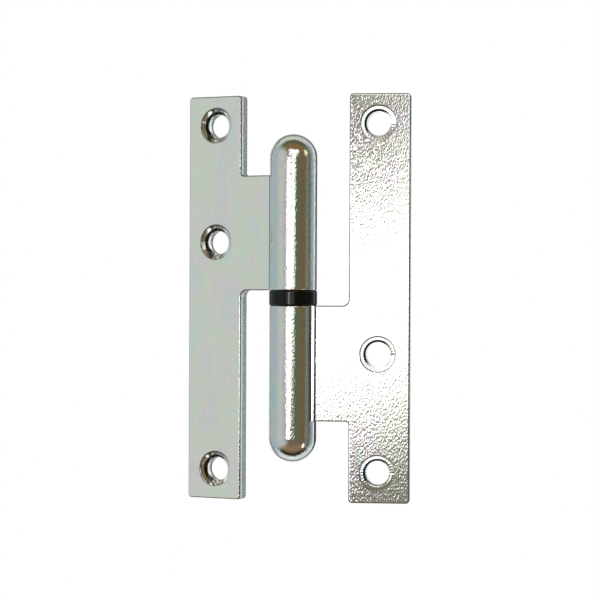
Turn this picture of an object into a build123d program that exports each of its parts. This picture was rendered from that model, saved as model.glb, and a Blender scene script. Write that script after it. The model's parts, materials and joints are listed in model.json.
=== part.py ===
from build123d import *
import os
from math import radians, sqrt, tan

# A lift-off hinge: two steel leaves of rolled section, a pin pressed into the lower
# knuckle and a plastic ring between the knuckles. Millimetres, +Z up along the pin.
# The origin is the middle of the lower leaf's two end screw holes, on its back face.

# Leaves
LEAF_HEIGHT = 120.0
LEAF_REACH = 34.6
LEAF_THICKNESS = 4.0
STRIP_WIDTH = 17.9
TAB_HEIGHT = 34.0
STRIP_CORNER_RADIUS = 1.0
INNER_NOTCH_RADIUS = 2.0
OUTER_NOTCH_RADIUS = 1.0
EDGE_RADIUS = 0.45

# Knuckles
KNUCKLE_RADIUS = 7.0
KNUCKLE_LENGTH = 46.0
ROOT_RADIUS = 0.5

# Countersunk screw holes, a little nearer the pin than the middle of the strip
HOLE_OFF_CENTRE = 0.45
SCREW_HOLE_RADIUS = 3.45
COUNTERSINK_RADIUS = 5.1
COUNTERSINK_ANGLE = 90.0
COUNTERSINK_MOUTH_RADIUS = 0.3
END_HOLE_INSET = 8.8
MIDDLE_HOLE_OFFSET = 16.4

# Pin
PIN_RADIUS = 4.0
PIN_SEAT_DEPTH = 28.0
PIN_ENGAGEMENT = 28.0
PIN_TIP_CHAMFER = 1.2
PIN_FOOT_CHAMFER = 0.4

# Ring between the knuckles
RING_HEIGHT = 4.4
RING_PROUD = 0.1
RING_EDGE_RADIUS = 0.4

# Fits
PIN_RUNNING_CLEARANCE = 0.05
RING_BORE_CLEARANCE = 0.08
PIN_TIP_GAP = 1.0
BORE_MOUTH_CHAMFER = 0.5
DRILL_POINT_ANGLE = 118.0

# The upper leaf is swung back by this angle from the plane of the lower one.
REST_FOLD = 22.0

HALF_HEIGHT = LEAF_HEIGHT / 2
HALF_THICKNESS = LEAF_THICKNESS / 2
STRIP_INNER_EDGE = LEAF_REACH - STRIP_WIDTH
HOLE_FROM_PIN = LEAF_REACH - STRIP_WIDTH / 2 - HOLE_OFF_CENTRE
RING_RADIUS = KNUCKLE_RADIUS + RING_PROUD
KNUCKLE_FACE = -RING_HEIGHT / 2
TAB_END = KNUCKLE_FACE - TAB_HEIGHT
END_HOLE_HEIGHT = HALF_HEIGHT - END_HOLE_INSET
PIN_AXIS = Pos(-HOLE_FROM_PIN, -HALF_THICKNESS, 0)


def close(value, target):
    """True if two lengths are the same within a micrometre."""
    return abs(value - target) < 0.001


def knuckle():
    """A solid knuckle below its flat face, turned to a hemisphere at its lower end."""
    low = KNUCKLE_FACE - KNUCKLE_LENGTH
    centre = low + KNUCKLE_RADIUS
    with BuildPart() as body:
        with BuildSketch(Plane.XZ):
            with BuildLine():
                Polyline((0, low), (0, KNUCKLE_FACE), (KNUCKLE_RADIUS, KNUCKLE_FACE), (KNUCKLE_RADIUS, centre))
                CenterArc((0, centre), KNUCKLE_RADIUS, 270, 90)
            make_face()
        revolve(axis=Axis.Z)
    return body.part


def plate():
    """The flat plate of strip and tab, with rounded corners and notches."""
    points = [
        (KNUCKLE_RADIUS, KNUCKLE_FACE),
        (STRIP_INNER_EDGE, KNUCKLE_FACE),
        (STRIP_INNER_EDGE, HALF_HEIGHT),
        (LEAF_REACH, HALF_HEIGHT),
        (LEAF_REACH, -HALF_HEIGHT),
        (STRIP_INNER_EDGE, -HALF_HEIGHT),
        (STRIP_INNER_EDGE, TAB_END),
        (KNUCKLE_RADIUS, TAB_END),
    ]
    corners = [STRIP_CORNER_RADIUS] * 4
    outline = FilletPolyline(*points, radius=[INNER_NOTCH_RADIUS, *corners, OUTER_NOTCH_RADIUS])
    face = make_face(outline + Line(points[-1], points[0]))
    return extrude(Plane.XZ * face, HALF_THICKNESS, both=True)


def root():
    """The rolled section where the plate runs into the knuckle, with a root radius at both faces."""
    web_length = KNUCKLE_RADIUS + ROOT_RADIUS
    section = Circle(KNUCKLE_RADIUS) + Pos(web_length / 2) * Rectangle(web_length, LEAF_THICKNESS)
    root_line = sqrt(KNUCKLE_RADIUS**2 - HALF_THICKNESS**2)
    corners = section.vertices().filter_by(lambda corner: close(corner.X, root_line))
    return Pos(0, 0, TAB_END) * extrude(fillet(corners, ROOT_RADIUS), TAB_HEIGHT)


def rounded_outline(leaf):
    """The leaf lightly rounded from its long outer edges on, all round both faces and the knuckle's end."""
    outer = leaf.edges().filter_by(Axis.Z).filter_by(lambda edge: close(edge.center().X, LEAF_REACH))
    return fillet(outer, EDGE_RADIUS)


def screw_hole():
    """A countersunk hole through the leaf along Y, with its wide end at the front face."""
    cone_depth = (COUNTERSINK_RADIUS - SCREW_HOLE_RADIUS) / tan(radians(COUNTERSINK_ANGLE / 2))
    outline = Polyline(
        (0, -HALF_THICKNESS),
        (COUNTERSINK_RADIUS, -HALF_THICKNESS),
        (SCREW_HOLE_RADIUS, cone_depth - HALF_THICKNESS),
        (SCREW_HOLE_RADIUS, HALF_THICKNESS),
        (0, HALF_THICKNESS),
        close=True,
    )
    return revolve(make_face(outline), Axis.Y)


def rounded_mouths(leaf):
    """The leaf with the mouths of its countersinks lightly rounded."""
    circles = leaf.edges().filter_by(GeomType.CIRCLE)
    mouths = circles.filter_by(lambda edge: close(edge.radius, COUNTERSINK_RADIUS))
    return fillet(mouths, COUNTERSINK_MOUTH_RADIUS)


def leaf_blank():
    """A drilled leaf along +X from the pin axis, with its solid knuckle in the lower half."""
    leaf = rounded_outline(plate() + root() + knuckle())
    for height in (END_HOLE_HEIGHT, -MIDDLE_HOLE_OFFSET, -END_HOLE_HEIGHT):
        leaf -= Pos(HOLE_FROM_PIN, 0, height) * screw_hole()
    return rounded_mouths(leaf)


def blind_bore(radius, depth):
    """A drilled bore down from the knuckle's flat face, with a chamfered mouth and a drill point."""
    point_depth = radius / tan(radians(DRILL_POINT_ANGLE / 2))
    bottom = KNUCKLE_FACE - depth
    outline = Polyline(
        (0, KNUCKLE_FACE),
        (radius + BORE_MOUTH_CHAMFER, KNUCKLE_FACE),
        (radius, KNUCKLE_FACE - BORE_MOUTH_CHAMFER),
        (radius, bottom),
        (0, bottom - point_depth),
        close=True,
    )
    return revolve(make_face(Plane.XZ * outline), Axis.Z)


def lower_leaf():
    """The leaf that stays on the frame: the pin is pressed into its knuckle."""
    return leaf_blank() - blind_bore(PIN_RADIUS, PIN_SEAT_DEPTH)


def upper_leaf():
    """The leaf that lifts off: the same blank turned over, bored to run on the pin."""
    bore = blind_bore(PIN_RADIUS + PIN_RUNNING_CLEARANCE, PIN_ENGAGEMENT + PIN_TIP_GAP)
    return Rot(0, 0, -REST_FOLD) * Rot(0, 180, 0) * (leaf_blank() - bore)


def pin():
    """The plain pin, chamfered at its foot in the lower knuckle and at its free tip."""
    foot = KNUCKLE_FACE - PIN_SEAT_DEPTH
    tip = -KNUCKLE_FACE + PIN_ENGAGEMENT
    rod = Pos(0, 0, foot) * extrude(Circle(PIN_RADIUS), tip - foot)
    rod = chamfer(rod.edges().group_by(Axis.Z)[-1], PIN_TIP_CHAMFER)
    return chamfer(rod.edges().group_by(Axis.Z)[0], PIN_FOOT_CHAMFER)


def ring():
    """The ring that carries the upper knuckle, with softened edges."""
    section = Circle(RING_RADIUS) - Circle(PIN_RADIUS + RING_BORE_CLEARANCE)
    band = Pos(0, 0, KNUCKLE_FACE) * extrude(section, RING_HEIGHT)
    rims = band.edges().filter_by(GeomType.CIRCLE).filter_by(lambda edge: close(edge.radius, RING_RADIUS))
    return fillet(rims, RING_EDGE_RADIUS)


PIECES = {"lower_leaf": lower_leaf, "upper_leaf": upper_leaf, "pin": pin, "bearing_ring": ring}

os.makedirs("parts", exist_ok=True)
for name, make in PIECES.items():
    export_step(PIN_AXIS * make(), f"parts/{name}.step")
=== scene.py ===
"""Dresses the lift-off hinge: zinc plated leaves, ground pin and black ring, in a pale studio."""

import json
import logging
import math
from dataclasses import dataclass
from enum import Enum
from typing import Dict, Sequence, Tuple, Union

import bmesh
import bpy
from mathutils import Matrix, Quaternion, Vector


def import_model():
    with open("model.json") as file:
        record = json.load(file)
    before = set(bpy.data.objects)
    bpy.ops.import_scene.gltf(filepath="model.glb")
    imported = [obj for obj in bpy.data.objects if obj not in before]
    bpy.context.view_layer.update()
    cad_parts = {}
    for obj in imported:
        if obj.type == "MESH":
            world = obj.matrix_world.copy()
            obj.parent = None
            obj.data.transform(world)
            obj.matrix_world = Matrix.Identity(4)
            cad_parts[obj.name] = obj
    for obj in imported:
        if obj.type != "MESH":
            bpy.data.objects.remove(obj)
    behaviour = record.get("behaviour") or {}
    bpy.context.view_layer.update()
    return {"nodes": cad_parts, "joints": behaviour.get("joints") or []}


LOG = logging.getLogger("hinge")
MILLIMETRE = 0.001
HALF_TURN = 180.0
REST_FOLD = 22.0

Socket = bpy.types.NodeSocket
Colour = Tuple[float, float, float]
Triple = Tuple[float, float, float]
Span = Tuple[float, float]
Source = Union[Socket, float, Sequence[float]]
Stops = Tuple[Tuple[float, Colour], ...]
Masks = Dict[str, Socket]

WHITE: Colour = (1.0, 1.0, 1.0)
UP: Triple = (0.0, 0.0, 1.0)
WITHOUT_Y: Triple = (1.0, 0.0, 1.0)
WITHOUT_Z: Triple = (1.0, 1.0, 0.0)

# Where a Mix node keeps its colours, among sockets of the same name
MIX_INPUTS: Tuple[int, int] = (6, 7)
MIX_RESULT = 2


class Mix(Enum):
    """How two colours are laid over each other."""

    BLEND = "MIX"
    MULTIPLY = "MULTIPLY"


class Panel(Enum):
    """The outline of a lamp's panel."""

    OVAL = "ELLIPSE"
    OBLONG = "RECTANGLE"


@dataclass(frozen=True)
class Noise:
    """One noise: its features per unit, its octaves, how strong the fine ones are, and how it swirls."""

    scale: float
    detail: float = 2.0
    roughness: float = 0.5
    swirl: float = 0.0


@dataclass(frozen=True)
class Band:
    """A soft-edged band of a value. Each side goes from nothing to full."""

    low: Span
    high: Span


class NodeCanvas:
    """A thin, typed pen for one node tree."""

    def __init__(self, tree: bpy.types.NodeTree) -> None:
        """Starts on a cleared tree.

        Args:
            tree: The tree to draw in.
        """
        self.tree = tree
        tree.nodes.clear()

    def node(self, kind: str, **settings: object) -> bpy.types.Node:
        """Adds one node.

        Args:
            kind: Its type, such as ShaderNodeMath.
            settings: Its properties by name.

        Returns:
            The new node.
        """
        made = self.tree.nodes.new(kind)
        for key, value in settings.items():
            setattr(made, key, value)
        return made

    def feed(self, socket: Socket, source: Source) -> None:
        """Links a socket to another, or sets its own value.

        Args:
            socket: The input to feed.
            source: An output socket or a plain value.
        """
        if isinstance(source, bpy.types.NodeSocket):
            self.tree.links.new(source, socket)
        else:
            socket.default_value = source

    def math(self, operation: str, *values: Source, clamp: bool = False) -> Socket:
        """A Math node.

        Args:
            operation: Its operation.
            values: Up to three values.
            clamp: Whether the result stays between 0 and 1.

        Returns:
            The result.
        """
        made = self.node("ShaderNodeMath", operation=operation, use_clamp=clamp)
        for socket, source in zip(made.inputs, values):
            self.feed(socket, source)
        return made.outputs[0]

    def product(self, first: Source, *others: Source) -> Socket:
        """Several values multiplied.

        Args:
            first: The first value.
            others: The others, at least one.

        Returns:
            The product.
        """
        for other in others:
            first = self.math("MULTIPLY", first, other)
        return first

    def less(self, value: Source, part: Source) -> Socket:
        """A value less a part.

        Args:
            value: The value.
            part: What is taken away.

        Returns:
            The difference.
        """
        return self.math("SUBTRACT", value, part)

    def raised(self, base: Source, mask: Source, amount: Source) -> Socket:
        """A value raised by an amount where a mask is.

        Args:
            base: The value.
            mask: Where it is raised.
            amount: By how much.

        Returns:
            The raised value.
        """
        return self.math("MULTIPLY_ADD", mask, amount, base)

    def vector(self, operation: str, *values: Source) -> bpy.types.Node:
        """A Vector Math node.

        Args:
            operation: Its operation.
            values: Its vectors.

        Returns:
            The node itself, because its useful output depends on the operation.
        """
        made = self.node("ShaderNodeVectorMath", operation=operation)
        for socket, source in zip(made.inputs, values):
            self.feed(socket, source)
        return made

    def stretched(self, vector: Source, factors: Triple) -> Socket:
        """A vector with each component multiplied.

        Args:
            vector: The vector.
            factors: The factors of its components.

        Returns:
            The stretched vector.
        """
        return self.vector("MULTIPLY", vector, factors).outputs["Vector"]

    def length(self, vector: Source) -> Socket:
        """The length of a vector.

        Args:
            vector: The vector.

        Returns:
            Its length.
        """
        return self.vector("LENGTH", vector).outputs["Value"]

    def along(self, vector: Source, direction: Triple) -> Socket:
        """How far a vector reaches along a direction.

        Args:
            vector: The vector.
            direction: The direction, whose length is a factor.

        Returns:
            Their dot product.
        """
        return self.vector("DOT_PRODUCT", vector, direction).outputs["Value"]

    def split(self, vector: Source) -> Tuple[Socket, Socket, Socket]:
        """Takes a vector apart.

        Args:
            vector: The vector.

        Returns:
            Its three components.
        """
        made = self.node("ShaderNodeSeparateXYZ")
        self.feed(made.inputs[0], vector)
        return made.outputs[0], made.outputs[1], made.outputs[2]

    def join(self, x: Source, y: Source = 0.0, z: Source = 0.0) -> Socket:
        """Puts a vector together.

        Args:
            x: Its first component.
            y: Its second component.
            z: Its third component.

        Returns:
            The vector.
        """
        made = self.node("ShaderNodeCombineXYZ")
        for socket, source in zip(made.inputs, (x, y, z)):
            self.feed(socket, source)
        return made.outputs[0]

    def step(self, value: Source, span: Span, to: Span = (0.0, 1.0)) -> Socket:
        """A smooth step of a value.

        Args:
            value: The value.
            span: Where the step starts and ends, in either order.
            to: The results at its start and at its end.

        Returns:
            The stepped value.
        """
        made = self.node("ShaderNodeMapRange", interpolation_type="SMOOTHSTEP")
        (low, start), (high, end) = sorted(zip(span, to))
        self.feed(made.inputs["Value"], value)
        for name, number in (("From Min", low), ("From Max", high), ("To Min", start), ("To Max", end)):
            made.inputs[name].default_value = number
        return made.outputs["Result"]

    def band(self, value: Source, band: Band) -> Socket:
        """A mask of a soft-edged band of a value.

        Args:
            value: The value.
            band: The band.

        Returns:
            The mask.
        """
        return self.product(self.step(value, band.low), self.step(value, band.high))

    def noise(self, vector: Source, noise: Noise) -> Socket:
        """A noise value between 0 and 1.

        Args:
            vector: Where it is read.
            noise: The noise.

        Returns:
            The value.
        """
        made = self.node("ShaderNodeTexNoise")
        self.feed(made.inputs["Vector"], vector)
        made.inputs["Scale"].default_value = noise.scale
        made.inputs["Detail"].default_value = noise.detail
        made.inputs["Roughness"].default_value = noise.roughness
        made.inputs["Distortion"].default_value = noise.swirl
        return made.outputs["Fac"]

    def dimples(self, vector: Source, scale: float, softness: float) -> Socket:
        """Soft round dimples.

        Args:
            vector: Where they are read.
            scale: Dimples per unit.
            softness: How smoothly they meet.

        Returns:
            Their height, between 0 and about 1.
        """
        made = self.node("ShaderNodeTexVoronoi", feature="SMOOTH_F1")
        self.feed(made.inputs["Vector"], vector)
        made.inputs["Scale"].default_value = scale
        made.inputs["Smoothness"].default_value = softness
        return made.outputs["Distance"]

    def ramp(self, value: Source, stops: Sequence[Tuple[float, Colour]]) -> Socket:
        """A colour ramp.

        Args:
            value: Where it is read.
            stops: Pairs of place and colour.

        Returns:
            The colour.
        """
        made = self.node("ShaderNodeValToRGB")
        elements = made.color_ramp.elements
        while len(elements) < len(stops):
            elements.new(1.0)
        for element, (place, colour) in zip(elements, stops):
            element.position = place
            element.color = (*colour, 1.0)
        self.feed(made.inputs["Fac"], value)
        return made.outputs["Color"]

    def mix(self, factor: Source, a: Source, b: Source, mode: Mix = Mix.BLEND) -> Socket:
        """Two colours mixed.

        Args:
            factor: How much of the second.
            a: The first colour.
            b: The second colour.
            mode: How the second lies over the first.

        Returns:
            The mixed colour.
        """
        made = self.node("ShaderNodeMix", data_type="RGBA", blend_type=mode.value)
        self.feed(made.inputs["Factor"], factor)
        for index, source in zip(MIX_INPUTS, (a, b)):
            plain = not isinstance(source, bpy.types.NodeSocket)
            self.feed(made.inputs[index], (*source, 1.0) if plain else source)
        return made.outputs[MIX_RESULT]

    def millimetres(self, pin: Triple = (0.0, 0.0, 0.0), turn: Triple = (0.0, 0.0, 0.0)) -> Socket:
        """Object coordinates in millimetres.

        Args:
            pin: Their new origin in the row frame, in metres.
            turn: How their axes are turned, in radians.

        Returns:
            The vector.
        """
        place = self.node("ShaderNodeMapping", vector_type="TEXTURE")
        self.feed(place.inputs["Vector"], self.node("ShaderNodeTexCoord").outputs["Object"])
        place.inputs["Location"].default_value = pin
        place.inputs["Rotation"].default_value = turn
        place.inputs["Scale"].default_value = (MILLIMETRE, MILLIMETRE, MILLIMETRE)
        return place.outputs["Vector"]

    def relief(self, height: Source) -> Socket:
        """The normal of a surface with relief.

        Args:
            height: The relief in millimetres.

        Returns:
            The normal.
        """
        bump = self.node("ShaderNodeBump")
        bump.inputs["Distance"].default_value = MILLIMETRE
        self.feed(bump.inputs["Height"], height)
        return bump.outputs["Normal"]

    def group(self, tree: bpy.types.NodeTree, **inputs: Source) -> Masks:
        """Places a shared group.

        Args:
            tree: The group.
            inputs: What feeds its inputs, by name with _ for a space.

        Returns:
            Its outputs by name.
        """
        made = self.node("ShaderNodeGroup")
        made.node_tree = tree
        for name, source in inputs.items():
            self.feed(made.inputs[name.replace("_", " ")], source)
        return {socket.name: socket for socket in made.outputs}

    def finish(self, kind: str, shader: Socket) -> None:
        """Ends a material or a world.

        Args:
            kind: The type of its output node.
            shader: What it shows.
        """
        self.feed(self.node(kind).inputs["Surface"], shader)


def new_group(name: str, inputs: Dict[str, str]) -> Tuple[NodeCanvas, Masks]:
    """Starts a shader group.

    Args:
        name: The group's name.
        inputs: Socket types by name.

    Returns:
        A pen on it and its inputs by name.
    """
    tree = bpy.data.node_groups.new(name, "ShaderNodeTree")
    for label, kind in inputs.items():
        tree.interface.new_socket(label, in_out="INPUT", socket_type=kind)
    pen = NodeCanvas(tree)
    return pen, {socket.name: socket for socket in pen.node("NodeGroupInput").outputs}


def close_group(pen: NodeCanvas, kind: str, outputs: Masks) -> bpy.types.NodeTree:
    """Gives a group its outputs.

    Args:
        pen: The pen on it.
        kind: The socket type of all its outputs.
        outputs: What feeds each output, by name.

    Returns:
        The finished group.
    """
    for label in outputs:
        pen.tree.interface.new_socket(label, in_out="OUTPUT", socket_type=kind)
    end = pen.node("NodeGroupOutput")
    for label, source in outputs.items():
        pen.feed(end.inputs[label], source)
    return pen.tree


@dataclass(frozen=True)
class LeafSizes:
    """The leaf in its own space: x from the pin, y through the leaf, z along the pin. Millimetres."""

    half_thickness: float = 2.0
    knuckle_radius: float = 7.0
    root_end: float = 7.25
    edge_radius: float = 0.45
    hole_from_pin: float = 25.2
    hole_heights: Triple = (51.2, -16.4, -51.2)
    sink_radius: float = 5.1
    tab_end: float = -36.2

    @property
    def flank(self) -> float:
        """Where the edge rounding starts, from the middle of the leaf."""
        return self.half_thickness - self.edge_radius


@dataclass(frozen=True)
class Zones:
    """Masks of the places on a leaf that are made differently, and of those where shade and reflections are
    painted. Lengths are in millimetres.
    """

    leaf: LeafSizes

    # Countersinks: the front face is at -y
    far_off: float = 100.0
    front: Span = (1.0, 0.5)
    sink_mouth: float = 0.25
    # Dark rings of painted shade round each countersink, darker on one side of the hole than the other
    rim: Band = Band((4.95, 5.1), (5.55, 5.4))
    rim_share: float = 0.8
    throat: Band = Band((3.5, 3.65), (4.4, 4.2))
    # How far out, and towards which side of the hole, the rings' painted shade leans
    shade_reach: Span = (7.0, 6.0)
    shade_slope: Triple = (-0.16, 0.0, 0.16)

    # Sheared edges: spans counted from the start of the edge rounding, and the burnished band
    cut_side: Span = (0.2, -0.05)
    cut_start: float = 0.4
    ragged: Noise = Noise(0.9, 3.0, 0.7)
    ragged_depth: float = 1.1
    burnish: Span = (-0.95, -1.15)
    rounding: Span = (-0.05, 0.1)
    face_start: Span = (2.0, 1.93)

    # Knuckle and root: spans counted from the knuckle's surface and the tab's end, and places along x and y
    knuckle_skin: Span = (0.35, 0.05)
    tab_foot: Span = (-0.2, 0.2)
    root_start: Span = (4.4, 4.8)
    root_half_width: float = 3.5
    root_climb: float = 0.9
    # Painted shade in the crease where the leaf meets the knuckle, and a band of painted dark reflection on
    # the knuckle beside the tab
    crease_side: Span = (2.4, 2.2)
    crease: Band = Band((6.5, 6.65), (7.15, 6.95))
    dark_line: Band = Band((3.6, 3.8), (4.7, 4.45))
    dark_line_share: float = 0.72
    # Beside the root, where a pale cyan reflection is painted
    root_reflection_reach: Span = (8.7, 8.3)

    def group(self) -> bpy.types.NodeTree:
        """Builds the group.

        Returns:
            The group, with a mask for each zone, the distance from the nearest hole and the side of it.
        """
        pen, start = new_group("leaf zones", {"Vector": "NodeSocketVector"})
        masks = self._holes(pen, start["Vector"])
        masks.update(self._edges(pen, start["Vector"], masks["Sink"]))
        masks.update(self._knuckle(pen, start["Vector"]))
        return close_group(pen, "NodeSocketFloat", masks)

    def _holes(self, pen: NodeCanvas, vector: Socket) -> Masks:
        """The countersinks, only at the front face.

        Args:
            pen: The group's pen.
            vector: The place on the leaf.

        Returns:
            Sink, Rings, Hole distance and Hole side.
        """
        leaf = self.leaf
        nearest: Source = self.far_off
        side: Source = 0.0
        for height in leaf.hole_heights:
            centred = pen.vector("SUBTRACT", vector, (leaf.hole_from_pin, 0.0, height)).outputs["Vector"]
            flat = pen.stretched(centred, WITHOUT_Y)
            far = pen.length(flat)
            nearest = pen.math("MINIMUM", nearest, far)
            # Hole side: how far a place lies towards the side of its hole that gets the most painted shade
            side = pen.raised(side, pen.step(far, self.shade_reach), pen.along(flat, self.shade_slope))
        front = pen.step(pen.split(vector)[1], self.front)
        sink = pen.step(nearest, (leaf.sink_radius + self.sink_mouth, leaf.sink_radius))
        rings = pen.raised(pen.band(nearest, self.throat), pen.band(nearest, self.rim), self.rim_share)
        return {
            "Sink": pen.product(sink, front),
            "Rings": pen.product(rings, front),
            "Hole distance": nearest,
            "Hole side": side,
        }

    def _edges(self, pen: NodeCanvas, vector: Socket, sink: Socket) -> Masks:
        """The sheared edges, with a burnished band, a torn one and rounded corners.

        Args:
            pen: The group's pen.
            vector: The place on the leaf.
            sink: The mask of the countersinks.

        Returns:
            Burnish, Fracture, and the mask of the rounded edges, where shade is painted.
        """
        leaf = self.leaf
        x, y, _ = pen.split(vector)
        off_middle = pen.math("ABSOLUTE", y)
        beyond = pen.step(x, (leaf.root_end, leaf.root_end + self.cut_start))
        beyond = pen.product(beyond, pen.less(1.0, sink))
        inside = pen.step(off_middle, tuple(leaf.flank + shift for shift in self.cut_side))
        cut = pen.product(inside, beyond)
        ragged = pen.noise(pen.stretched(vector, WITHOUT_Y), self.ragged)
        depth = pen.less(y, pen.product(ragged, self.ragged_depth))
        burnish = pen.product(cut, pen.step(depth, self.burnish))
        # The rounded edges, where dark shade is painted
        rounding = pen.step(off_middle, tuple(leaf.flank + shift for shift in self.rounding))
        edge = pen.product(rounding, pen.step(off_middle, self.face_start), beyond)
        return {"Burnish": burnish, "Fracture": pen.less(cut, burnish), "Edge shade": edge}

    def _knuckle(self, pen: NodeCanvas, vector: Socket) -> Masks:
        """The knuckle and the lines along its root, where shade, a dark reflection and a pale reflection
        are painted.

        Args:
            pen: The group's pen.
            vector: The place on the leaf.

        Returns:
            Knuckle, Root, Crease and Lip.
        """
        leaf = self.leaf
        x, y, z = pen.split(vector)
        off_middle = pen.math("ABSOLUTE", y)
        around = pen.length(pen.stretched(vector, WITHOUT_Z))
        knuckle = pen.step(around, tuple(leaf.knuckle_radius + shift for shift in self.knuckle_skin))
        beside = pen.step(z, tuple(leaf.tab_end + shift for shift in self.tab_foot))
        beside = pen.product(beside, pen.step(x, self.root_start), knuckle)
        inside = pen.less(self.root_half_width, off_middle)
        climb = pen.math("MULTIPLY", inside, self.root_climb, clamp=True)
        crease = pen.product(pen.step(off_middle, self.crease_side), pen.band(x, self.crease))
        dark_line = pen.product(pen.band(off_middle, self.dark_line), beside, self.dark_line_share)
        return {
            "Knuckle": knuckle,
            "Root": pen.product(climb, beside),
            "Crease": pen.math("MAXIMUM", crease, dark_line),
            "Root reflection": pen.product(pen.step(x, self.root_reflection_reach), pen.less(1.0, knuckle)),
        }


@dataclass(frozen=True)
class Grain:
    """The relief of rolled, sheared, turned and plated steel. Lengths are in millimetres."""

    leaf: LeafSizes

    # Rolled faces and the fine grain of the plating
    fine: Noise = Noise(5.5, 2.0, 0.6)
    rolling: Triple = (1.0, 1.0, 0.52)
    dimple_scale: float = 2.1
    dimple_softness: float = 0.6
    dimple_share: float = 0.42
    swell: Noise = Noise(2.5, 1.0, 0.4)
    swell_share: float = 0.78

    # Drawn lines on the knuckle and torn steel on the sheared edges
    drawing: Triple = (1.0, 1.0, 0.16)
    drawn: Noise = Noise(1.5, 3.0, 0.6, 0.2)
    tearing: Triple = (1.0, 0.6, 1.0)
    torn: Noise = Noise(2.2, 4.0, 0.7)

    # Turned countersinks
    turning: Noise = Noise(3.0, 1.0)
    turning_share: float = 0.03
    throat_start: float = 3.85
    throat_slope: float = 3.3
    throat_depth: float = -0.17
    cone_slope: float = 1.354
    cone_change: float = -0.0030

    def group(self) -> bpy.types.NodeTree:
        """Builds the group.

        Returns:
            The group, with a height for each kind of relief.
        """
        inputs = {"Vector": "NodeSocketVector", "Hole distance": "NodeSocketFloat"}
        pen, start = new_group("rolled grain", inputs)
        vector = start["Vector"]
        rolled = pen.stretched(vector, self.rolling)
        dimples = pen.dimples(rolled, self.dimple_scale, self.dimple_softness)
        swell = pen.product(pen.noise(rolled, self.swell), self.swell_share)
        return close_group(pen, "NodeSocketFloat", {
            "Pebble": pen.raised(swell, dimples, self.dimple_share),
            "Fine": pen.noise(vector, self.fine),
            "Drawn": pen.noise(pen.stretched(vector, self.drawing), self.drawn),
            "Torn": pen.noise(pen.stretched(vector, self.tearing), self.torn),
            "Turned": self._turned(pen, vector, start["Hole distance"]),
        })

    def _turned(self, pen: NodeCanvas, vector: Socket, out: Socket) -> Socket:
        """The cone and the ring marks of a countersink.

        Args:
            pen: The group's pen.
            vector: The place on the leaf.
            out: The distance from the hole's middle.

        Returns:
            The height, which is 0 at the rim.
        """
        marks = pen.product(pen.noise(pen.join(out), self.turning), self.turning_share)
        throat = pen.math("MULTIPLY", pen.less(out, self.throat_start), self.throat_slope, clamp=True)
        inward = pen.math("MINIMUM", pen.less(out, self.leaf.sink_radius), 0.0)
        slope = pen.raised(self.cone_slope, pen.split(vector)[2], self.cone_change)
        cone = pen.raised(marks, inward, slope)
        return pen.raised(cone, throat, self.throat_depth)


@dataclass(frozen=True)
class Film:
    """The faint colours of the clear passivation film."""

    stretch: Triple = (1.0, 1.0, 0.45)
    cloud: Noise = Noise(0.16, 2.0, 0.6, 0.6)
    colours: Stops = (
        (0.30, (0.87, 0.95, 0.96)),
        (0.42, (0.92, 0.97, 0.87)),
        (0.50, (0.96, 0.95, 0.91)),
        (0.58, (0.97, 0.90, 0.95)),
        (0.70, (0.86, 0.95, 0.93)),
    )

    def group(self) -> bpy.types.NodeTree:
        """Builds the group.

        Returns:
            The group, with the film's colour.
        """
        pen, start = new_group("passivation film", {"Vector": "NodeSocketVector"})
        cloud = pen.noise(pen.stretched(start["Vector"], self.stretch), self.cloud)
        return close_group(pen, "NodeSocketColor", {"Colour": pen.ramp(cloud, self.colours)})


class PlatingGroups:
    """The shader groups that both leaves share."""

    def __init__(self, leaf: LeafSizes) -> None:
        """Builds the groups once.

        Args:
            leaf: The leaf's sizes.
        """
        self.zones = Zones(leaf).group()
        self.grain = Grain(leaf).group()
        self.film = Film().group()


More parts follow.
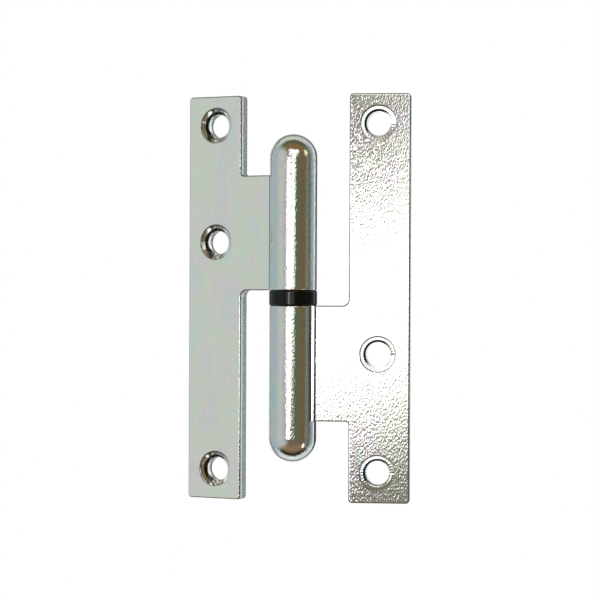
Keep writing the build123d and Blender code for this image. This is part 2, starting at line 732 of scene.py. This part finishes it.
@dataclass(frozen=True)
class ZincPlating:
    """Bright zinc over rolled steel, with a clear film. Relief heights are in millimetres."""

    # Roughness
    face_roughness: float = 0.09
    knuckle_roughness: float = 0.10
    sink_roughness: float = 0.10
    fracture_roughness: float = 0.13

    # Relief
    face_pebble: float = 0.034
    knuckle_pebble: float = 0.042
    knuckle_drawn: float = 0.010
    fracture_torn: float = 0.32
    burnish_torn: float = 0.09
    sink_turned: float = -1.0
    fine_height: float = 0.002
    root_rise: float = 2.6

    # Colour
    # Painted shade in the pits of the grain
    pit_depth: Span = (0.36, 0.55)
    pit_shade: Span = (0.93, 1.0)
    knuckle_tone: Colour = (0.90, 0.90, 0.91)
    fracture_tint: float = 0.35
    fracture_tone: Colour = (0.60, 0.62, 0.62)
    # Painted shade along the rounded edges
    edge_shade_tint: float = 0.75
    edge_shade_tone: Colour = (0.10, 0.09, 0.09)
    # Painted pale cyan reflection beside the knuckle's root
    root_reflection_tint: float = 0.35
    root_reflection_tone: Colour = (0.78, 0.95, 0.98)
    # Painted shade on the rings round the holes: which way it leans, how dark it is at least, and its
    # colour
    shaded_side: float = 1.0
    ring_shade_base: float = 0.75
    ring_shade_tone: Colour = (0.03, 0.04, 0.05)
    # The colour of the painted shade and dark reflection along the knuckle's root
    crease_shade_tone: Colour = (0.10, 0.10, 0.12)

    def material(self, name: str, pin: Triple, turn: Triple, groups: PlatingGroups) -> bpy.types.Material:
        """Builds the finish for one leaf.

        Args:
            name: The material's name.
            pin: The origin of the leaf's own space, in metres.
            turn: How the leaf's own space is turned, in radians.
            groups: The shared groups.

        Returns:
            The material.
        """
        made = bpy.data.materials.new(name)
        made.use_nodes = True
        pen = NodeCanvas(made.node_tree)
        vector = pen.millimetres(pin, turn)
        zones = pen.group(groups.zones, Vector=vector)
        grain = pen.group(groups.grain, Vector=vector, Hole_distance=zones["Hole distance"])
        film = pen.group(groups.film, Vector=vector)["Colour"]
        shader = pen.node("ShaderNodeBsdfPrincipled")
        shader.inputs["Metallic"].default_value = 1.0
        pen.feed(shader.inputs["Base Color"], self._colour(pen, zones, grain["Pebble"], film))
        pen.feed(shader.inputs["Roughness"], self._roughness(pen, zones))
        pen.feed(shader.inputs["Normal"], pen.relief(self._height(pen, zones, grain)))
        pen.finish("ShaderNodeOutputMaterial", shader.outputs[0])
        return made

    def _colour(self, pen: NodeCanvas, zones: Masks, pebble: Socket, film: Socket) -> Socket:
        """The film's colour, darker on torn steel, with painted shade in the pits of the grain, on the
        rounded edges, in rings round the holes and along the knuckle's root, and a painted pale reflection
        beside the root.

        Args:
            pen: The material's pen.
            zones: The masks of the leaf.
            pebble: The height of the rolled grain.
            film: The film's colour.

        Returns:
            The colour.
        """
        # Painted shade in the pits of the rolled grain
        shade = pen.step(pebble, self.pit_depth, self.pit_shade)
        grey = pen.node("ShaderNodeCombineColor")
        for socket in grey.inputs:
            pen.feed(socket, shade)
        colour = pen.mix(1.0, film, grey.outputs[0], Mix.MULTIPLY)
        colour = pen.mix(zones["Knuckle"], colour, pen.mix(1.0, colour, self.knuckle_tone, Mix.MULTIPLY))
        side = pen.math("MULTIPLY_ADD", zones["Hole side"], self.shaded_side, self.ring_shade_base, clamp=True)
        layers = (
            (pen.product(zones["Fracture"], self.fracture_tint), self.fracture_tone),
            # Painted shade on the rounded edges
            (pen.product(zones["Edge shade"], self.edge_shade_tint), self.edge_shade_tone),
            # Painted pale reflection beside the root
            (pen.product(zones["Root reflection"], self.root_reflection_tint), self.root_reflection_tone),
            # Painted shade in rings round the countersinks
            (pen.math("MULTIPLY", zones["Rings"], side, clamp=True), self.ring_shade_tone),
            # Painted shade in the root's crease and painted dark reflection beside the tab
            (zones["Crease"], self.crease_shade_tone),
        )
        for mask, tone in layers:
            colour = pen.mix(mask, colour, tone)
        return colour

    def _roughness(self, pen: NodeCanvas, zones: Masks) -> Socket:
        """The roughness of each zone.

        Args:
            pen: The material's pen.
            zones: The masks of the leaf.

        Returns:
            The roughness.
        """
        rough: Source = self.face_roughness
        own = {
            "Knuckle": self.knuckle_roughness,
            "Fracture": self.fracture_roughness,
            "Sink": self.sink_roughness,
        }
        for zone, roughness in own.items():
            rough = pen.raised(rough, zones[zone], roughness - self.face_roughness)
        return rough

    def _height(self, pen: NodeCanvas, zones: Masks, grain: Masks) -> Socket:
        """The relief of each zone.

        Args:
            pen: The material's pen.
            zones: The masks of the leaf.
            grain: The kinds of relief.

        Returns:
            The height in millimetres.
        """
        own = pen.math("ADD", zones["Knuckle"], pen.math("ADD", zones["Burnish"], zones["Fracture"]))
        plain = pen.math("SUBTRACT", 1.0, pen.math("ADD", own, zones["Sink"]), clamp=True)
        knuckle = pen.product(grain["Pebble"], self.knuckle_pebble)
        layers = (
            (zones["Knuckle"], pen.raised(knuckle, grain["Drawn"], self.knuckle_drawn)),
            (zones["Fracture"], pen.product(grain["Torn"], self.fracture_torn)),
            (zones["Burnish"], pen.product(grain["Torn"], self.burnish_torn)),
            (zones["Sink"], pen.product(grain["Turned"], self.sink_turned)),
            (zones["Root"], self.root_rise),
            (grain["Fine"], self.fine_height),
        )
        height = pen.product(grain["Pebble"], plain, self.face_pebble)
        for mask, relief in layers:
            height = pen.raised(height, mask, relief)
        return height


@dataclass(frozen=True)
class PlainFinish:
    """A finish for the small pieces: a colour, a roughness and a fine relief in millimetres."""

    name: str
    colour: Colour
    metallic: float
    roughness: float
    relief: float
    stretch: Triple
    gloss: float = 1.45
    lines: Noise = Noise(1.2, 3.0)
    line_shade: float = 0.8
    line_span: Span = (0.2, 0.8)
    line_polish: Span = (0.8, 1.2)

    def material(self) -> bpy.types.Material:
        """Builds the finish.

        Returns:
            The material.
        """
        made = bpy.data.materials.new(self.name)
        made.use_nodes = True
        pen = NodeCanvas(made.node_tree)
        lines = pen.noise(pen.stretched(pen.millimetres(), self.stretch), self.lines)
        shaded = tuple(self.line_shade * part for part in self.colour)
        rough = tuple(self.roughness * share for share in self.line_polish)
        shader = pen.node("ShaderNodeBsdfPrincipled")
        shader.inputs["Metallic"].default_value = self.metallic
        shader.inputs["IOR"].default_value = self.gloss
        pen.feed(shader.inputs["Base Color"], pen.mix(lines, self.colour, shaded))
        pen.feed(shader.inputs["Roughness"], pen.step(lines, self.line_span, rough))
        pen.feed(shader.inputs["Normal"], pen.relief(pen.product(lines, self.relief)))
        pen.finish("ShaderNodeOutputMaterial", shader.outputs[0])
        return made


def dress(piece: bpy.types.Object, finish: bpy.types.Material) -> None:
    """Gives a CAD piece a finish through its material slots.

    Args:
        piece: The piece.
        finish: Its material.
    """
    for slot in piece.material_slots:
        slot.material = finish
    LOG.info("dressed %s in %s", piece.name, finish.name)


@dataclass(frozen=True)
class Leaves:
    """The two leaves with their knuckles: one blank, used twice."""

    pin: Triple
    sizes: LeafSizes = LeafSizes()
    lower_turn: Triple = (0.0, 0.0, 0.0)
    upper_turn: Triple = (0.0, math.pi, math.radians(-REST_FOLD))
    lower_plating: ZincPlating = ZincPlating()
    upper_plating: ZincPlating = ZincPlating(sink_turned=0.19, root_rise=0.0, shaded_side=-1.0)

    def build(self, nodes: Dict[str, bpy.types.Object]) -> None:
        """Dresses both leaves.

        Args:
            nodes: The CAD pieces by name.
        """
        groups = PlatingGroups(self.sizes)
        lower = self.lower_plating.material("zinc on lower leaf", self.pin, self.lower_turn, groups)
        upper = self.upper_plating.material("zinc on upper leaf", self.pin, self.upper_turn, groups)
        dress(nodes["lower_leaf"], lower)
        dress(nodes["upper_leaf"], upper)


@dataclass(frozen=True)
class Bearing:
    """The pin and the ring that the upper knuckle runs on."""

    steel: PlainFinish = PlainFinish(
        name="ground steel",
        colour=(0.62, 0.61, 0.59),
        metallic=1.0,
        roughness=0.22,
        relief=0.004,
        stretch=(1.0, 1.0, 3.0),
    )
    nylon: PlainFinish = PlainFinish(
        name="black nylon",
        colour=(0.006, 0.006, 0.006),
        metallic=0.0,
        roughness=0.10,
        relief=0.012,
        stretch=(1.0, 1.0, 1.6),
        gloss=1.36,
    )

    def build(self, nodes: Dict[str, bpy.types.Object]) -> None:
        """Dresses the pin and the ring.

        Args:
            nodes: The CAD pieces by name.
        """
        dress(nodes["pin"], self.steel.material())
        dress(nodes["bearing_ring"], self.nylon.material())


@dataclass(frozen=True)
class Surround:
    """The room round the hinge: colours by the angle from the front in degrees, for four sides of it."""

    window_side: Stops = (
        (0.0, (0.16, 0.15, 0.12)),
        (26.0, (0.20, 0.19, 0.17)),
        (34.0, (0.40, 0.39, 0.43)),
        (41.0, (0.48, 0.48, 0.49)),
        (50.0, (0.53, 0.55, 0.54)),
        (57.0, (0.56, 0.60, 0.56)),
        (75.0, (0.50, 0.56, 0.53)),
        (95.0, (0.40, 0.49, 0.52)),
        (122.0, (0.40, 0.49, 0.52)),
        (129.0, (0.80, 0.87, 0.87)),
        (152.0, (0.80, 0.87, 0.85)),
        (164.0, (0.50, 0.55, 0.55)),
        (172.0, WHITE),
    )
    room_side: Stops = (
        (0.0, (0.13, 0.14, 0.10)),
        (14.0, (0.10, 0.13, 0.08)),
        (24.0, (0.14, 0.15, 0.08)),
        (36.0, (0.15, 0.13, 0.07)),
        (52.0, (0.17, 0.12, 0.065)),
        (64.0, (0.18, 0.13, 0.08)),
        (70.0, (0.28, 0.29, 0.21)),
        (78.0, (0.12, 0.16, 0.15)),
        (94.0, (0.10, 0.16, 0.14)),
        (103.0, (0.32, 0.42, 0.42)),
        (117.0, (0.36, 0.45, 0.46)),
        (121.0, (0.93, 1.0, 1.0)),
        (129.0, (0.93, 1.0, 1.0)),
        (135.0, (0.10, 0.11, 0.13)),
        (164.0, (0.10, 0.11, 0.13)),
        (172.0, WHITE),
    )
    above: Stops = (
        (0.0, (0.13, 0.14, 0.10)),
        (36.0, (0.17, 0.13, 0.07)),
        (50.0, (0.24, 0.15, 0.06)),
        (70.0, (0.20, 0.14, 0.06)),
        (80.0, (0.10, 0.11, 0.06)),
        (94.0, (0.12, 0.13, 0.08)),
        (101.0, (0.66, 0.72, 0.66)),
        (120.0, (0.62, 0.68, 0.60)),
        (132.0, (0.30, 0.33, 0.28)),
        (150.0, (0.15, 0.16, 0.16)),
        (172.0, WHITE),
    )
    below: Stops = (
        (0.0, (0.16, 0.15, 0.12)),
        (30.0, (0.17, 0.13, 0.08)),
        (50.0, (0.30, 0.20, 0.12)),
        (70.0, (0.22, 0.14, 0.08)),
        (78.0, (0.04, 0.028, 0.018)),
        (94.0, (0.04, 0.028, 0.018)),
        (101.0, (0.74, 0.80, 0.82)),
        (120.0, (0.75, 0.80, 0.80)),
        (132.0, (0.50, 0.54, 0.54)),
        (148.0, (0.12, 0.13, 0.14)),
        (172.0, WHITE),
    )
    room_fade: Span = (-0.45, 0.1)
    above_fade: Span = (0.45, 0.85)
    below_fade: Span = (-0.45, -0.85)

    def colour(self, pen: NodeCanvas, front: Vector, right: Vector) -> Socket:
        """The room's colour in each direction.

        Args:
            pen: The world's pen.
            front: The direction that the angles start from.
            right: The direction level with it and square to it.

        Returns:
            The colour.
        """
        looking = pen.node("ShaderNodeTexCoord").outputs["Generated"]
        ahead = pen.along(looking, tuple(front))
        across = pen.join(pen.along(looking, tuple(right)), pen.split(looking)[2])
        side, lift, _ = pen.split(pen.vector("NORMALIZE", across).outputs["Vector"])
        angle = pen.math("DIVIDE", pen.math("ARCCOSINE", ahead), math.pi)
        window, room, above, below = (
            pen.ramp(angle, [(degrees / HALF_TURN, colour) for degrees, colour in stops])
            for stops in (self.window_side, self.room_side, self.above, self.below))
        colour = pen.mix(pen.step(side, self.room_fade), window, room)
        colour = pen.mix(pen.step(lift, self.above_fade), colour, above)
        return pen.mix(pen.step(lift, self.below_fade), colour, below)


@dataclass(frozen=True)
class Lamp:
    """One soft panel that faces the hinge. Angles are in degrees from the front, sizes in metres."""

    name: str
    aside: float
    elevation: float
    size: Span
    radiance: float
    away: float = 1.2
    lean: float = 0.0
    outline: Panel = Panel.OBLONG
    colour: Colour = WHITE

    def hang(self, hub: Vector, direction: Vector) -> None:
        """Hangs the panel.

        Args:
            hub: What it faces.
            direction: The unit vector from the hub to it.
        """
        width, height = self.size
        data = bpy.data.lights.new(self.name, "AREA")
        data.shape = self.outline.value
        data.size = width
        data.size_y = height
        data.energy = self.radiance * math.pi * width * height
        data.color = self.colour
        panel = bpy.data.objects.new(self.name, data)
        panel.rotation_mode = "QUATERNION"
        roll = Quaternion(UP, math.radians(-self.lean))
        panel.rotation_quaternion = direction.to_track_quat("Z", "Y") @ roll
        panel.location = hub + direction * self.away
        bpy.context.scene.collection.objects.link(panel)


@dataclass(frozen=True)
class Floor:
    """The plain pale floor below the hinge, white to the camera towards its rim. Metres."""

    height: float = -0.7
    behind: float = 0.26
    radius: float = 0.14
    segments: int = 96
    fade: Span = (0.3, 0.95)
    glow: Span = (0.8, 1.0)
    colour: Colour = (0.8, 0.8, 0.8)

    def build(self, pin: Triple) -> None:
        """Lays the floor.

        Args:
            pin: The middle of the hinge.
        """
        shape = bmesh.new()
        bmesh.ops.create_circle(shape, cap_ends=True, segments=self.segments, radius=self.radius)
        centre = Vector((pin[0], pin[1] + self.behind, self.height))
        bmesh.ops.translate(shape, verts=shape.verts, vec=centre)
        mesh = bpy.data.meshes.new("floor")
        shape.to_mesh(mesh)
        shape.free()
        mesh.materials.append(self._material(centre))
        floor = bpy.data.objects.new("floor", mesh)
        bpy.context.scene.collection.objects.link(floor)

    def _material(self, centre: Vector) -> bpy.types.Material:
        """The pale finish, which keeps the hinge's shadow.

        Args:
            centre: The middle of the floor.

        Returns:
            The material.
        """
        made = bpy.data.materials.new("pale floor")
        made.use_nodes = True
        pen = NodeCanvas(made.node_tree)
        place = pen.node("ShaderNodeTexCoord").outputs["Object"]
        centred = pen.vector("SUBTRACT", place, tuple(centre)).outputs["Vector"]
        out = pen.length(pen.stretched(centred, WITHOUT_Z))
        white = pen.step(out, tuple(share * self.radius for share in self.fade), self.glow)
        matte = pen.node("ShaderNodeBsdfDiffuse")
        matte.inputs["Color"].default_value = (*self.colour, 1.0)
        glow = pen.node("ShaderNodeEmission")
        glow.inputs["Strength"].default_value = 1.0
        path = pen.node("ShaderNodeLightPath")
        seen = pen.math("MAXIMUM", path.outputs["Is Camera Ray"], path.outputs["Is Glossy Ray"])
        both = pen.node("ShaderNodeMixShader")
        sources = (pen.product(seen, white), matte.outputs[0], glow.outputs[0])
        for socket, source in zip(both.inputs, sources):
            pen.feed(socket, source)
        pen.finish("ShaderNodeOutputMaterial", both.outputs[0])
        return made


@dataclass(frozen=True)
class Studio:
    """Camera, lamps, world and floor round the hinge. Angles in degrees, lengths in metres."""

    pin: Triple
    distance: float = 0.7
    azimuth: float = 6.5
    elevation: float = 0.24
    roll: float = 0.25
    lens: float = 142.7
    aim_right: float = 0.00205
    aim_up: float = -0.0006
    floor: Floor = Floor()
    surround: Surround = Surround()
    lamps: Tuple[Lamp, ...] = (
        Lamp("window", -12.0, -1.0, (0.34, 0.192), 1.04, outline=Panel.OVAL),
        Lamp("bright strip", -19.4, -0.5, (0.11, 0.26), 8.0),
        Lamp("left panel", -25.4, -1.5, (0.25, 0.36), 1.2, lean=-35.0, colour=(1.0, 0.96, 1.0)),
        Lamp("leaning panel", 9.4, 18.5, (0.31, 1.0), 1.2, lean=32.0, colour=(0.96, 1.0, 0.98)),
        Lamp("window edge", -6.8, 4.0, (0.05, 0.20), 1.1),
        Lamp("upper panel", -6.0, 27.6, (0.66, 0.58), 1.1, lean=10.0),
        Lamp("warm spot", 60.0, -33.0, (0.16, 0.26), 2.0, away=1.0, lean=30.0, colour=(1.0, 0.9, 0.7)),
        Lamp("mint spot", 103.0, -32.0, (0.24, 0.22), 1.5, away=1.0, colour=(0.70, 1.0, 0.86)),
        Lamp("golden panel", 65.0, 24.0, (0.26, 0.36), 1.0, away=1.0, colour=(0.9, 0.75, 0.40)),
    )

    def _direction(self, aside: float, elevation: float) -> Vector:
        """A unit vector from the hinge.

        Args:
            aside: Its angle from the front towards +X.
            elevation: Its angle upwards.

        Returns:
            The vector.
        """
        turn = math.radians(self.azimuth + aside)
        lift = math.radians(elevation)
        return Vector((math.sin(turn) * math.cos(lift), -math.cos(turn) * math.cos(lift), math.sin(lift)))

    def _camera(self) -> None:
        """Sets the camera at the photograph's viewing angle."""
        back = self._direction(0.0, self.elevation)
        right = Vector(UP).cross(back).normalized()
        up = back.cross(right)
        lean = Matrix.Rotation(math.radians(self.roll), 3, back)
        right = lean @ right
        up = lean @ up
        target = Vector(self.pin) + right * self.aim_right + up * self.aim_up
        data = bpy.data.cameras.new("camera")
        data.lens = self.lens
        camera = bpy.data.objects.new("camera", data)
        place = Matrix((right, up, back)).transposed().to_4x4()
        place.translation = target + back * self.distance
        camera.matrix_world = place
        bpy.context.scene.collection.objects.link(camera)
        bpy.context.scene.camera = camera

    def _world(self) -> None:
        """Puts the room round the hinge, and white where the camera sees past it."""
        world = bpy.data.worlds.new("studio")
        bpy.context.scene.world = world
        world.use_nodes = True
        pen = NodeCanvas(world.node_tree)
        front = self._direction(0.0, 0.0)
        right = Vector(UP).cross(front)
        room = pen.node("ShaderNodeBackground")
        pen.feed(room.inputs["Color"], self.surround.colour(pen, front, right))
        white = pen.node("ShaderNodeBackground")
        white.inputs["Color"].default_value = (*WHITE, 1.0)
        path = pen.node("ShaderNodeLightPath")
        seen = pen.math("MAXIMUM", path.outputs["Is Camera Ray"], path.outputs["Is Transmission Ray"])
        both = pen.node("ShaderNodeMixShader")
        for socket, source in zip(both.inputs, (seen, room.outputs[0], white.outputs[0])):
            pen.feed(socket, source)
        pen.finish("ShaderNodeOutputWorld", both.outputs[0])

    def build(self) -> None:
        """Builds the whole studio."""
        self._camera()
        for lamp in self.lamps:
            lamp.hang(Vector(self.pin), self._direction(lamp.aside, lamp.elevation))
        self._world()
        self.floor.build(self.pin)
        bpy.context.scene.view_settings.view_transform = "Standard"
        LOG.info("set up the camera, %d lamps, the world and the floor", len(self.lamps))


def main() -> None:
    """Dresses the hinge piece by piece and sets it in its studio."""
    logging.basicConfig(level=logging.INFO, format="%(name)s: %(message)s")
    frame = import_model()
    nodes = frame["nodes"]
    pin = tuple(next(joint for joint in frame["joints"] if joint["name"] == "leaf_swing")["pos_m"])
    Leaves(pin).build(nodes)
    Bearing().build(nodes)
    Studio(pin).build()


if __name__ == "__main__":
    main()
